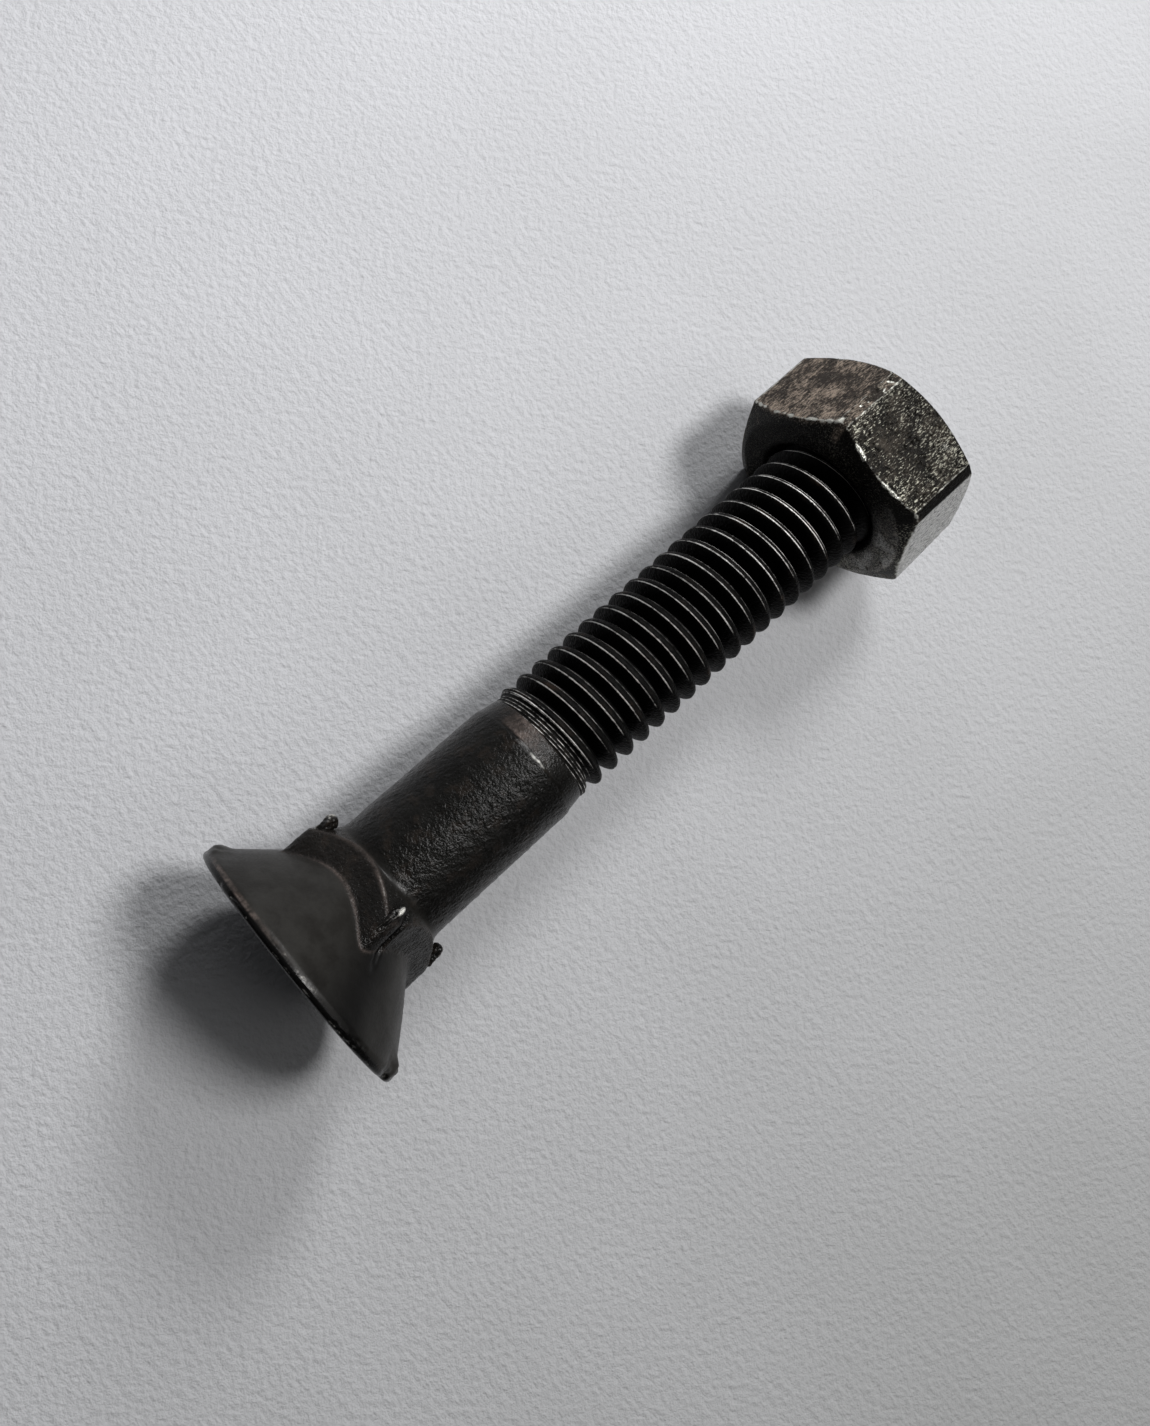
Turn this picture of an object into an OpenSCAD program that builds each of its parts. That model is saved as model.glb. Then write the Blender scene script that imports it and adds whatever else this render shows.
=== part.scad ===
// Countersunk square-neck plow bolt with its hex nut, lying as it comes to rest:
// on the rim of its head and on one flat of the nut. Millimetres, +Z up, the bolt's
// axis in the XZ plane with the head towards -X. The origin is at the bottom centre.

/* [Bolt] */
// Overall length, from the flat of the head to the threaded end
bolt_length = 82; // [64:1:120]
// Diameter of the plain shank
shank_d = 12.84; // [12.8:0.02:13.2]
// Distance from the flat of the head to the end of the full shank
shank_end = 28.2; // [20:0.2:34]
// Length of the taper from the shank down to the thread's blank
taper_length = 2.8; // [1.5:0.1:4]

/* [Head] */
// Diameter of the countersunk head
head_d = 26; // [23:0.2:30]
// Height of the straight land round the head's rim
head_land = 1; // [0.6:0.1:1.6]
// Half of the countersink's included angle
countersink_half_angle = 42; // [38:0.5:46]
// Radius of the worn rim
rim_radius = 0.3; // [0.1:0.05:0.5]

/* [Square neck] */
// How far each flat of the square stands proud of the shank
neck_proud = 0.06; // [0.04:0.02:0.4]
// Distance from the flat of the head to where the bevel dies out in the shank
neck_end = 11.3; // [10.4:0.1:14]
// Diameter over the square's rounded corners
neck_corner_d = 17.5; // [15.6:0.1:18]
// Angle between the bolt's axis and the bevel at the end of the square
neck_bevel_angle = 45; // [35:1:55]
// Turn of the square's corners about the bolt's axis, against the nut's flat
neck_turn = 6; // [0:1:89]

/* [Forging flash] */
// How far the flash nub reaches past the square at each of its four corners
flash_reach = [3, 1.9, 2.7, 2.1];
// Radial thickness of a nub
flash_thickness = 0.95; // [0.6:0.05:1.2]
// Width of a nub across the corner
flash_width = 1.7; // [1:0.1:2.2]

/* [Thread] */
// Diameter over the thread's crests
thread_d = 12.7; // [12.4:0.02:12.74]
// Turns of thread in an inch
turns_per_inch = 12; // [10:1:16]
// Length over which the thread grows to its full depth at the shank
run_out = 2.7; // [1.5:0.1:5]
// Turn of the thread's helix about the bolt's axis, against the nut's flat
thread_turn = -63; // [-180:1:180]
// Slope angle of the chamfer at the threaded end, from the axis
tip_angle = 40; // [30:1:45]
// Facets round one turn of the thread
thread_facets = 26; // [16:2:36]

/* [Nut] */
// Width across the nut's flats
nut_af = 20.83; // [19:0.01:22.2]
// Height of the nut
nut_height = 10.5; // [8:0.1:13]
// How far the bolt's end stands out of the nut
end_past_nut = 1.5; // [0.4:0.1:8]
// Radial clearance between the thread's crests and the nut's bore
nut_clearance = 0.08; // [0.04:0.01:0.2]
// Slope angle of the nut's corner chamfer, from its face
nut_chamfer_angle = 30; // [15:1:35]
// Depth of the countersink at each mouth of the bore
bore_chamfer = 0.5; // [0.2:0.1:1]

/* [Hidden] */
inch = 25.4;
round_fn = 96;
blend_fn = 16;

head_r = head_d / 2;
shank_r = shank_d / 2;
neck_w = shank_d + 2 * neck_proud;
corner_r = min(neck_corner_d / 2, neck_w * sqrt(0.5) - 0.1);
cone_end = head_land + (head_r - 0.7 * shank_r) / tan(countersink_half_angle);
bevel_start = neck_end - (corner_r - shank_r) / tan(neck_bevel_angle);

// Whitworth form: 55 degree flanks with rounded crests and roots
pitch = inch / turns_per_inch;
thread_r = thread_d / 2;
thread_depth = 0.6403 * pitch;
root_r = thread_r - thread_depth;
blank_r = thread_r - 0.45 * thread_depth;
form_offset = [-0.1, 0, 0.1, 0.39, 0.5, 0.61];
form_depth = [0.07, 0, 0.07, 0.93, 1, 0.93];

taper_end = shank_end + taper_length;
thread_from = shank_end + 0.5;
tip_core_r = root_r + 0.14;
tip_face = bolt_length - 0.25;

nut_seat = bolt_length - end_past_nut - nut_height;
nut_bore_r = thread_r + nut_clearance;
nut_corner_r = nut_af / sqrt(3);
nut_face_r = 0.925 * nut_af / 2;
nut_flat_end = nut_seat + nut_height - (nut_af / 2 - nut_face_r) * tan(nut_chamfer_angle);

// The rest pose: the head's rim and the far end of the nut's lower flat touch the ground
rest_slope = atan((head_r - nut_af / 2) / (nut_flat_end - head_land + rim_radius));
rest_height = head_r * cos(rest_slope) + (head_land - rim_radius) * sin(rest_slope);
tip_end_r = tip_core_r - 0.3;
low_x = -(head_r - rim_radius) * sin(rest_slope);
high_x = bolt_length * cos(rest_slope) + tip_end_r * sin(rest_slope);
middle_x = (low_x + high_x) / 2;

// Puts a piece that is drawn along +Z, from the flat of the head, into the rest pose
module at_rest() {
    translate([-middle_x, 0, rest_height])
        rotate([0, 90 + rest_slope, 0])
            children();
}

// The forging's round form: head, countersink, shank and its taper to the thread
module turned_blank() {
    arc_steps = 4;
    rim_arc = [
        for (k = [0 : arc_steps])
            let (a = 90 * k / arc_steps)
            [head_r - rim_radius * (1 - sin(a)), rim_radius * (1 - cos(a))]
    ];
    rotate_extrude($fn = round_fn)
        polygon(concat(
            [[0, 0]],
            rim_arc,
            [
                [head_r, head_land],
                [0.7 * shank_r, cone_end],
                [0, cone_end]
            ]
        ));
    rotate_extrude($fn = round_fn)
        polygon([
            [0, head_land],
            [shank_r, head_land],
            [shank_r, shank_end],
            [blank_r + 0.06, taper_end],
            [0, taper_end]
        ]);
}

// The square under the head: its corners are rounded and its end is bevelled all round
module square_neck() {
    intersection() {
        translate([-neck_w / 2, -neck_w / 2, head_land])
            cube([neck_w, neck_w, neck_end - head_land]);
        rotate_extrude($fn = round_fn)
            polygon([
                [0, head_land],
                [corner_r, head_land],
                [corner_r, bevel_start],
                [shank_r - 0.2, neck_end + 0.2 / tan(neck_bevel_angle)],
                [0, neck_end + 0.2 / tan(neck_bevel_angle)]
            ]);
    }
}

// One nub of flash, squeezed out past a corner of the square
module flash_nub(reach) {
    ball_r = flash_thickness / 2;
    side = (flash_width - flash_thickness) / 2;
    tip_z = bevel_start + reach - ball_r;
    hull() {
        for (s = [-1, 1]) {
            translate([corner_r - ball_r - 0.1, s * side, bevel_start - 1.2])
                sphere(r = ball_r, $fn = blend_fn);
            translate([corner_r - ball_r - 0.3, 0.6 * s * side, tip_z])
                sphere(r = 0.9 * ball_r, $fn = blend_fn);
        }
    }
}

// Distance from the axis to the thread's surface at a height, for a depth of its form
function form_r(depth, z) =
    let (
        full = thread_r - depth * thread_depth,
        crest_growth = max(0, min(1, (z - taper_end + 1.2) / (run_out + 1.2))),
        root_growth = max(0, min(1, (z - taper_end + 0.3) / (run_out + 0.3))),
        grown = blank_r
            + max(full - blank_r, 0) * crest_growth
            + min(full - blank_r, 0) * root_growth,
        chamfer = tip_core_r + 0.1 + (tip_face - z) * tan(tip_angle)
    )
    z > tip_face ? tip_core_r - 0.5 : min(grown, chamfer);

// Turns past the tip's face are squeezed into a thin disc inside the tip
function squeezed(z) = z <= tip_face ? z : tip_face + (z - tip_face) * 0.03;

// The thread: one closed surface, whose rows of points follow the helix
module thread_body() {
    form_n = len(form_offset);
    turns = ceil((tip_face - thread_from) / pitch) + 2;
    rows = turns * thread_facets;
    points = [
        for (i = [0 : rows])
            for (m = [0 : form_n - 1])
                let (
                    z = thread_from + pitch * (i / thread_facets + form_offset[m]),
                    r = form_r(form_depth[m], z),
                    a = thread_turn + 360 * i / thread_facets
                )
                [r * cos(a), r * sin(a), squeezed(z)]
    ];
    last = (rows + 1) * form_n;
    bottom = [0, 0, thread_from + pitch * 0.4];
    top = [0, 0, squeezed(thread_from + pitch * (turns + 0.4))];
    one_turn = thread_facets * form_n;
    // Each strip runs from one point of the form to the next, the last into the next turn
    strips = [
        for (i = [0 : rows - 1])
            for (m = [0 : form_n - 1])
                let (
                    wraps = m == form_n - 1,
                    a = i * form_n + m,
                    b = wraps ? a + 1 - form_n + one_turn : a + 1
                )
                if (!wraps || i + 1 + thread_facets <= rows)
                    each [
                        [a, b, a + form_n],
                        [b, b + form_n, a + form_n]
                    ]
    ];
    start_loop = concat(
        [for (i = [0 : thread_facets]) i * form_n],
        [for (m = [form_n - 1 : -1 : 0]) m]
    );
    end_row = rows * form_n;
    end_loop = concat(
        [for (i = [rows - thread_facets : rows]) i * form_n + form_n - 1],
        [for (m = [form_n - 2 : -1 : 0]) end_row + m],
        [(rows - thread_facets) * form_n + form_n - 1]
    );
    start_cap = [
        for (k = [0 : len(start_loop) - 2])
            [start_loop[k], start_loop[k + 1], last]
    ];
    end_cap = [
        for (k = [0 : len(end_loop) - 2])
            [end_loop[k + 1], end_loop[k], last + 1]
    ];
    polyhedron(
        points = concat(points, [bottom, top]),
        faces = concat(strips, start_cap, end_cap),
        convexity = 20
    );
}

// The core of the threaded end, with its own small chamfer
module tip_core() {
    rotate_extrude($fn = round_fn)
        polygon([
            [0, tip_face - 2 * pitch],
            [tip_core_r, tip_face - 2 * pitch],
            [tip_core_r, bolt_length - 0.3],
            [tip_end_r, bolt_length],
            [0, bolt_length]
        ]);
}

module plow_bolt() {
    color("#35322f")
        at_rest() {
            union() {
                turned_blank();
                rotate([0, 0, neck_turn + 45]) {
                    square_neck();
                    for (k = [0 : 3])
                        rotate([0, 0, 45 + 90 * k])
                            flash_nub(flash_reach[k]);
                }
                thread_body();
                tip_core();
            }
        }
}

module hex_nut() {
    face_lift = (nut_corner_r - nut_face_r) * tan(nut_chamfer_angle);
    color("#4a4640")
        at_rest()
            translate([0, 0, nut_seat])
                difference() {
                    intersection() {
                        rotate([0, 0, 30])
                            cylinder(r = nut_corner_r, h = nut_height, $fn = 6);
                        rotate_extrude($fn = round_fn)
                            polygon([
                                [0, 0],
                                [nut_face_r, 0],
                                [nut_corner_r + 0.01, face_lift],
                                [nut_corner_r + 0.01, nut_height - face_lift],
                                [nut_face_r, nut_height],
                                [0, nut_height]
                            ]);
                    }
                    translate([0, 0, -1])
                        cylinder(r = nut_bore_r, h = nut_height + 2, $fn = round_fn);
                    for (flip = [0, 1])
                        translate([0, 0, flip * nut_height])
                            mirror([0, 0, flip])
                                translate([0, 0, -0.2])
                                    cylinder(
                                        r1 = nut_bore_r + bore_chamfer + 0.2,
                                        r2 = nut_bore_r,
                                        h = bore_chamfer + 0.2,
                                        $fn = round_fn
                                    );
                }
}

plow_bolt();
hex_nut();
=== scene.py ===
import math
import numpy as np
import bpy
from mathutils import Matrix, Vector


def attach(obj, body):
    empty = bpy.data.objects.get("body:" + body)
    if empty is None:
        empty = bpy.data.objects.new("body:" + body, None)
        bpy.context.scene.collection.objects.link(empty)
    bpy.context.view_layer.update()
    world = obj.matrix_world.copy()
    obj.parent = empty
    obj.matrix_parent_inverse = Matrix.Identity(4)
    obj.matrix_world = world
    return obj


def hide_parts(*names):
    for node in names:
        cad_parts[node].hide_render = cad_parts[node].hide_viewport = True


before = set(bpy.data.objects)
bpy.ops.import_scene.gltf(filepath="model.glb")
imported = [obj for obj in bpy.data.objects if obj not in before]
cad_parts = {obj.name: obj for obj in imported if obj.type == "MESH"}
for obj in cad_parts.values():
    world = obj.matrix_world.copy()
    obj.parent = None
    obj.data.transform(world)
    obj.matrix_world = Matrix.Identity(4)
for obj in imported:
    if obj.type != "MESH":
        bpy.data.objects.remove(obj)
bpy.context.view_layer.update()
print("frame loaded")

mm = 0.001

# How the bolt lies: on the rim of its head and on one flat of the nut
restPose = {"slopeDeg": 1.866, "middle": 40.850, "height": 13.016}


def toRow(radius, angle, along):
    # Bolt coordinates to the row's frame: along the axis from the head's flat, out from the axis,
    # and round it from the downward side, then tilted by the rest slope and lifted off the floor
    slope = math.radians(restPose["slopeDeg"])
    down = radius * np.cos(angle)
    side = radius * np.sin(angle)
    x = along * math.cos(slope) - down * math.sin(slope) - restPose["middle"]
    z = -along * math.sin(slope) - down * math.cos(slope) + restPose["height"]
    return np.stack([x, side + 0 * x, z], axis=-1) * mm


def smoothStep(low, high, value):
    # Cubic ease from 0 at low to 1 at high
    t = np.clip((value - low) / (high - low), 0, 1)
    return t * t * (3 - 2 * t)


def span(limits, value):
    # 1 between the two middle limits, easing to 0 at the outer two
    start, full, fade, gone = limits
    return smoothStep(start, full, value) * (1 - smoothStep(fade, gone, value))


def bell(value, width, power=2):
    # 1 where the value is 0, falling away over the width; a higher power has a flatter top
    return np.exp(-(value / width) ** power)


def partly(least, value):
    # Runs from least to 1 while the value runs from 0 to 1
    return least + (1 - least) * value


def softMin(a, b, width):
    # The lesser of two heights, rounded where they meet over the given width
    h = np.clip(0.5 + 0.5 * (b - a) / width, 0, 1)
    return b + (a - b) * h - width * h * (1 - h)


def ripples(x, y, z, seed, size, waves=14):
    # Smooth bumps about size across: a sum of sine waves in seeded directions, scaled to about -1 to 1
    rng = np.random.default_rng(seed)
    total = np.zeros(np.broadcast(x, y, z).shape)
    for k in range(waves):
        way = rng.normal(size=3)
        way = way / np.linalg.norm(way) * 2 * math.pi / (size * rng.uniform(0.7, 1.6))
        total = total + np.sin(x * way[0] + y * way[1] + z * way[2] + rng.uniform(0, 6.28))
    return total / math.sqrt(waves) * 0.8


class Surface:
    # A profile carried round the axis: a column at each angle, and rows from mark to mark. A mark is
    # its name, the rows that lead up to it, and its places along the axis and out from it. A ring
    # comes back to its first mark, so its last row is left out
    def __init__(self, angle, marks, ring=False):
        name, row, fromAlong, fromRadius = marks[0]
        self.rowOf = {name: row}
        along, radius = [fromAlong[None]], [fromRadius[None]]
        for name, count, toAlong, toRadius in marks[1:]:
            t = np.arange(1, count + 1)[:, None] / count
            along.append(fromAlong + (toAlong - fromAlong) * t)
            radius.append(fromRadius + (toRadius - fromRadius) * t)
            row += count
            self.rowOf[name] = row
            fromAlong, fromRadius = toAlong, toRadius
        end = -1 if ring else None
        self.along = np.concatenate(along)[:end]
        self.radius = np.concatenate(radius)[:end]
        self.turn = np.broadcast_to(angle, self.radius.shape)

    def ease(self, rounds, reaches):
        # Rounds the named creases: a round moves the rows within reach halfway to their neighbours' mean
        share = np.zeros((len(self.along), 1))
        for name, reach in reaches.items():
            row = self.rowOf[name]
            share[max(row - reach, 1):row + reach + 1] = 0.25
        for _ in range(rounds):
            for grid in (self.along, self.radius):
                grid[1:-1] += share[1:-1] * (grid[:-2] - 2 * grid[1:-1] + grid[2:])

    def measure(self):
        # The way walked along the profile from its first row, and each point's place across the axis
        step = np.hypot(np.diff(self.along, axis=0), np.diff(self.radius, axis=0))
        self.walked = np.concatenate([np.zeros((1, step.shape[1])), np.cumsum(step, axis=0)])
        self.x, self.y = self.radius * np.cos(self.turn), self.radius * np.sin(self.turn)

    def near(self, name, width):
        # A bell along the profile about a mark
        return bell(self.walked - self.walked[self.rowOf[name]], width)

    def facing(self, centre, spread):
        # A bell round the axis about a turn in degrees
        gap = np.abs((self.turn - math.radians(centre) + math.pi) % (2 * math.pi) - math.pi)
        return bell(np.degrees(gap), spread)

    def bumps(self, seed, size, waves=14):
        return ripples(self.x, self.y, self.along, seed, size, waves)


def gridShell(radius, angle, along, values, wrapRows=False, capStart=False, capEnd=False):
    # A grid of rows along and columns round the axis. The columns close on themselves, and so do
    # the rows of a ring; a cap fans the first or last row to its middle
    rows, columns = radius.shape
    points = toRow(radius, angle, along)
    index = np.arange(rows * columns).reshape(rows, columns)
    index = np.concatenate([index, index[:, :1]], axis=1)
    if wrapRows:
        index = np.concatenate([index, index[:1]], axis=0)
    a, b, c, d = index[:-1, :-1], index[:-1, 1:], index[1:, 1:], index[1:, :-1]
    shell = {"points": points.reshape(-1, 3), "quads": np.stack([a, b, c, d], axis=-1).reshape(-1, 4)}
    shell["triangles"] = np.zeros((0, 3), int)
    shell["values"] = {key: value.reshape(-1) for key, value in values.items()}
    for row, wanted in ((0, capStart), (rows - 1, capEnd)):
        if wanted:
            ring = index[row]
            hub = np.full(len(ring) - 1, len(shell["points"]))
            corners = [ring[1:], ring[:-1], hub] if row == 0 else [ring[:-1], ring[1:], hub]
            shell["triangles"] = np.concatenate([shell["triangles"], np.stack(corners, axis=-1)])
            shell["points"] = np.concatenate([shell["points"], points[row].mean(axis=0)[None]])
            for key, value in values.items():
                shell["values"][key] = np.append(shell["values"][key], value[row].mean())
    return shell


def helixShell(radius, angle, along, values, turnRows):
    # A band whose rows follow a helix: the last point of a row joins the first of the row one turn
    # on, and each end is fanned to a point on the axis
    rows, across = radius.shape
    points = toRow(radius, angle, along).reshape(-1, 3)
    i, m = np.meshgrid(np.arange(rows - 1), np.arange(across), indexing="ij")
    a = i * across + m
    b = np.where(m == across - 1, (i + turnRows) * across, a + 1)
    quads = np.stack([a, a + across, b + across, b], axis=-1)
    inside = (m < across - 1) | (i + 1 + turnRows < rows)
    low = np.concatenate([np.arange(turnRows + 1) * across, np.arange(across)[::-1]])
    high = np.concatenate([
        np.arange(rows - 1 - turnRows, rows) * across + across - 1,
        (rows - 1) * across + np.arange(across - 1)[::-1],
        [(rows - 1 - turnRows) * across + across - 1],
    ])
    hubAlong = np.array([along[:turnRows, 0].mean(), along[-turnRows:, -1].mean()])
    hubs = toRow(np.zeros(2), np.zeros(2), hubAlong)
    first = len(points)
    fans = np.concatenate([
        np.stack([low[1:], low[:-1], np.full(len(low) - 1, first)], axis=-1),
        np.stack([high[:-1], high[1:], np.full(len(high) - 1, first + 1)], axis=-1),
    ])
    shell = {"points": np.concatenate([points, hubs]), "quads": quads[inside], "triangles": fans[:, ::-1]}
    shell["values"] = {key: np.append(value.reshape(-1), [0, 0]) for key, value in values.items()}
    return shell


def addPiece(name, shells, material, body):
    # Joins closed shells into one mesh and stores their values as attributes for the materials
    base, points, faces, totals = 0, [], [], []
    for shell in shells:
        for kind, corners in (("quads", 4), ("triangles", 3)):
            faces.append((shell[kind] + base).reshape(-1))
            totals.append(np.full(len(shell[kind]), corners))
        points.append(shell["points"])
        base += len(shell["points"])
    points, faces, totals = np.concatenate(points), np.concatenate(faces), np.concatenate(totals)
    mesh = bpy.data.meshes.new(name)
    mesh.vertices.add(len(points))
    mesh.vertices.foreach_set("co", points.reshape(-1))
    mesh.loops.add(len(faces))
    mesh.loops.foreach_set("vertex_index", faces)
    mesh.polygons.add(len(totals))
    mesh.polygons.foreach_set("loop_start", np.concatenate([[0], np.cumsum(totals)[:-1]]))
    mesh.polygons.foreach_set("use_smooth", np.full(len(totals), True))
    for key in shells[0]["values"]:
        layer = mesh.attributes.new(key, "FLOAT", "POINT")
        values = np.concatenate([shell["values"][key] for shell in shells])
        layer.data.foreach_set("value", values.astype(np.float32))
    mesh.update()
    mesh.validate()
    mesh.materials.append(material)
    piece = bpy.data.objects.new(name, mesh)
    bpy.context.scene.collection.objects.link(piece)
    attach(piece, body)
    print(name, len(points), "points", int((totals - 2).sum()), "triangles")
    return piece


# The forging up to the start of the thread, in millimetres and degrees
forging = {
    "columns": 380, "seed": 11, "hubRadius": 0.5,
    # Head, square, and the bevel that leads from the square to the shank
    "headRadius": 13.0, "rimRadius": 0.3, "landEnd": 0.62, "coneStart": 1.12, "rimLand": 1.0,
    "halfAngle": 42.0, "neckHalf": 6.48, "cornerRadius": 8.75, "cornerSoftness": 0.5,
    "neckEnd": 11.3, "neckTurn": 6.0, "bevelAngle": 45.0,
    # Shank, the small step at its end, and the taper under the first thread
    "shankRadius": 6.42, "shankEnd": 28.2, "stepLength": 0.14, "taperStep": 0.12,
    "taperEnd": 30.4, "taperRadius": 5.97,
    # Rounds of easing, with the rows that each crease is eased over
    "easing": [
        (5, {"faceEdge": 2, "landStart": 2, "landEnd": 2, "coneStart": 2, "squareStart": 4,
             "bevelStart": 3, "neckEnd": 4, "shankEnd": 1, "stepFoot": 1, "taperEnd": 2}),
        (40, {"neckEnd": 9}),
    ],
    # Zones along the axis: where each starts, is full, starts to fade and is gone
    "shankZone": (11.3, 12.3, 27.9, 28.15), "taperZone": (28.25, 28.45, 30.2, 30.4),
    "foldZone": (5.0, 5.9, 10.1, 10.9),
    # Sizes of the bumps and their heights, and the most that they may stand out
    "coarseSize": 5.0, "fineSize": 1.1, "tinySize": 0.48, "tinyWaves": 22, "lumpSize": 1.8,
    "coarseHeight": 0.03, "fineHeight": 0.008, "pebbleDepth": 0.020, "lumpHeight": 0.030,
    "highest": 0.06,
    # Chips and rubbing along the rim's edges, and bites out of the step
    "wornWidth": 0.27, "chipDepth": 0.16, "rubDepth": 0.045, "biteDepth": 0.07,
    # Blows on the rim and burrs along it: turn, spread and size of each
    "battered": [(236.0, 5.0, 0.34), (318.0, 5.0, 0.16), (20.0, 6.0, 0.14)],
    "batterFull": 0.34, "batterDepth": 0.32, "batterReach": 1.3,
    "burrs": [(90.0, 8.0, 0.75), (244.0, 5.0, 0.55), (140.0, 4.0, 0.12)],
    "burrMiddle": 1.75, "burrReach": 0.62,
    "fold": 195.0, "foldTwist": 3.0, "foldWidth": 0.24, "foldDepth": 0.34,
    # Bare steel: how bright each edge is worn; on the rim's edge and the step it is partly a painted
    # highlight
    "silver": 0.50, "landScuff": 0.30, "stepHighlight": 0.80, "batterWear": 0.40, "bevelWear": 0.55,
    "squareWear": 0.36, "taperWear": 0.20,
    # Rust on the taper, along the square's edges, on its flats and on the rim
    "taperRust": 0.85, "edgeRust": 0.80, "squareRust": 0.05, "rimRust": 0.80,
    # Painted shade: black in the fold, on one side of the cone and on one side of the shank
    "foldShade": 1.3, "coneShade": 0.95, "shankShade": 0.5,
}


def forgingSurface(d):
    # A profile whose breakpoints move with the angle: head face, rim, land, worn edge, countersink
    # until it meets the square, the square's flats, their bevel, shank and taper
    angle = np.linspace(0, 2 * math.pi, d["columns"], endpoint=False)
    turned = angle - math.radians(d["neckTurn"] + 45)
    flat = d["neckHalf"] / np.maximum(np.abs(np.cos(turned)), np.abs(np.sin(turned)))
    neck = softMin(flat, d["cornerRadius"] + 0 * flat, d["cornerSoftness"])
    full = np.ones_like(angle)
    rim, lean = d["headRadius"] * full, math.tan(math.radians(d["halfAngle"]))
    meetCone = d["rimLand"] + (d["headRadius"] - neck) / lean
    meetBevel = d["neckEnd"] - (neck - d["shankRadius"]) / math.tan(math.radians(d["bevelAngle"]))
    stepFoot, stepRadius = d["shankEnd"] + d["stepLength"], d["shankRadius"] - d["taperStep"]
    s = Surface(angle, [
        ("hub", 0, 0 * full, d["hubRadius"] * full),
        ("faceEdge", 14, 0 * full, rim - d["rimRadius"]),
        ("landStart", 5, d["rimRadius"] * full, rim),
        ("landEnd", 6, d["landEnd"] * full, rim),
        ("coneStart", 7, d["coneStart"] * full, rim - (d["coneStart"] - d["rimLand"]) * lean),
        ("squareStart", 42, meetCone, neck),
        ("bevelStart", 26, meetBevel, neck),
        ("neckEnd", 16, d["neckEnd"] * full, d["shankRadius"] * full),
        ("shankEnd", 104, d["shankEnd"] * full, d["shankRadius"] * full),
        ("stepFoot", 3, stepFoot * full, stepRadius * full),
        ("taperEnd", 18, d["taperEnd"] * full, d["taperRadius"] * full),
        ("endHub", 3, d["taperEnd"] * full, d["hubRadius"] * full),
    ])
    for rounds, reaches in d["easing"]:
        s.ease(rounds, reaches)
    s.measure()
    s.squareWay = s.along - (meetCone - 0.2)  # the way past where the square leaves the cone
    return s


def forgingZones(d, s):
    # The bumps, the way from the worn edge, and how fully each point lies in the places that both
    # the dents and the looks follow
    s.coarse = s.bumps(d["seed"], d["coarseSize"])
    s.fine = s.bumps(d["seed"] + 1, d["fineSize"])
    s.tiny = s.bumps(d["seed"] + 2, d["tinySize"], d["tinyWaves"])
    s.onHead = smoothStep(0.5, 2.0, s.radius) * (1 - smoothStep(8, 12, s.along))
    s.onSquare = smoothStep(-0.3, 0.3, s.squareWay) * (1 - smoothStep(10.9, 11.4, s.along))
    s.onShank = span(d["shankZone"], s.along)
    s.onTaper = span(d["taperZone"], s.along)
    s.patchy = smoothStep(-0.8, 0.9, s.fine + 0.6 * s.tiny)
    s.streaky = smoothStep(-0.9, 0.6, s.coarse + 0.5 * s.fine)
    s.fromEdge = s.walked - (s.walked[s.rowOf["landEnd"]] + s.walked[s.rowOf["coneStart"]]) / 2
    s.wornEdge = bell(s.fromEdge, d["wornWidth"], 4)
    s.broken = 0 * s.radius
    for centre, spread, deep in d["battered"]:
        here = s.facing(centre, spread) * bell(s.fromEdge, d["batterReach"])
        s.broken = np.maximum(s.broken, here * deep / d["batterFull"])
    foldTurn = np.radians(d["fold"] + d["foldTwist"] * smoothStep(9.5, 5.0, s.along))
    s.inFold = bell((s.turn - foldTurn) * s.radius, d["foldWidth"]) * span(d["foldZone"], s.along)


def dentForging(d, s):
    # Adds the bumps to the radius and takes chips, blows and the fold from it, then adds the burrs
    rimEdge = np.maximum(s.near("landStart", 0.5), s.wornEdge)
    chipped = smoothStep(0.75, 1.5, s.fine + 0.5 * s.coarse)
    bitten = s.near("shankEnd", 0.35) * smoothStep(0.2, 1.2, s.fine + 0.5 * s.coarse)
    lumps = s.bumps(d["seed"] + 3, d["lumpSize"])
    dents = (d["coarseHeight"] * s.coarse + d["fineHeight"] * s.fine) * (s.onHead + 0.5 * s.onShank)
    dents = dents + s.onShank * (0.010 * s.fine + d["pebbleDepth"] * s.tiny)
    dents = dents + s.onSquare * (d["lumpHeight"] * lumps + 0.022 * s.tiny)
    dents = dents - rimEdge * (d["chipDepth"] * chipped + d["rubDepth"])
    dents = dents - s.broken * (d["batterDepth"] + 0.2 * s.fine)
    dents = dents - d["foldDepth"] * s.inFold - d["biteDepth"] * bitten
    dents = np.minimum(dents, np.where(rimEdge > 0.3, 0, d["highest"]))
    s.radius = np.maximum(s.radius + np.where(s.radius > 3, dents, 0), 0.3)
    burr = 0 * s.radius
    for centre, spread, size in d["burrs"]:
        onBurr = s.facing(centre, spread) * bell(s.along - d["burrMiddle"], d["burrReach"])
        burr = burr + size * onBurr * (s.along > 0.5)
    raised = np.minimum(s.radius + burr * (0.8 + 0.25 * s.fine), d["headRadius"] - 0.05)
    s.radius = np.where(burr > 0.02, raised, s.radius)


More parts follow.
